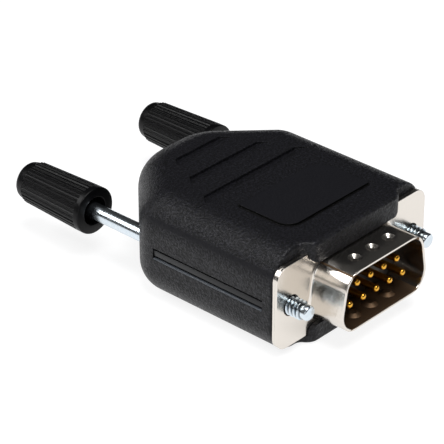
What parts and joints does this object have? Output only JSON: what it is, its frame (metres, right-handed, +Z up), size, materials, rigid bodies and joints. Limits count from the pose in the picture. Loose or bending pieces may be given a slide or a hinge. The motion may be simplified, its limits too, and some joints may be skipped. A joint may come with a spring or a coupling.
{
  "type": "d-sub connector",
  "caption": "Cable plug with pins in a D-shaped metal shell, a black moulded cover that tapers to the cable outlet, and long jackscrews with ribbed knobs along its sides.",
  "frame": {"origin": "middle of the flange's front face, halfway between the jackscrews", "axes": "-Y is the way the plug mates, +Z is up with the wide row of pins below, +X is to the right seen from the pins"},
  "size_m": [0.032, 0.0556, 0.0159],
  "materials": {
    "cover": "spark-textured",
    "shell": "satin nickel plate",
    "insulator": "moulded",
    "contact": "gold plate",
    "zinc": "blue zinc plate",
    "knob": "moulded"
  },
  "bodies": {
    "connector": {"upper_cover": "cover", "lower_cover": "cover", "front_shell": "shell", "rear_shell": "shell", "front_insulator": "insulator", "rear_insulator": "insulator", "contact_1": "contact", "contact_2": "contact", "contact_3": "contact", "contact_4": "contact", "contact_5": "contact", "contact_6": "contact", "contact_7": "contact", "contact_8": "contact", "contact_9": "contact", "clamp_bar": "zinc", "left_clamp_screw": "zinc", "right_clamp_screw": "zinc"},
    "left_ring": {"left_retaining_ring": "zinc"},
    "left_screw": {"left_jackscrew": "zinc", "left_knob": "knob"},
    "right_ring": {"right_retaining_ring": "zinc"},
    "right_screw": {"right_jackscrew": "zinc", "right_knob": "knob"}
  },
  "joints": [
    {"name": "left_slide", "type": "slide", "parent": "connector", "child": "left_ring", "axis": [0, -1, 0], "range_m": [-0.0043, 0.00475]},
    {"name": "left_turn", "type": "hinge", "parent": "left_ring", "child": "left_screw", "pos_m": [-0.01249, 0.01376, 0], "axis": [0, -1, 0], "continuous": true},
    {"name": "right_slide", "type": "slide", "parent": "connector", "child": "right_ring", "axis": [0, -1, 0], "range_m": [-0.0043, 0.00475]},
    {"name": "right_turn", "type": "hinge", "parent": "right_ring", "child": "right_screw", "pos_m": [0.01249, 0.01376, 0], "axis": [0, -1, 0], "continuous": true}
  ]
}
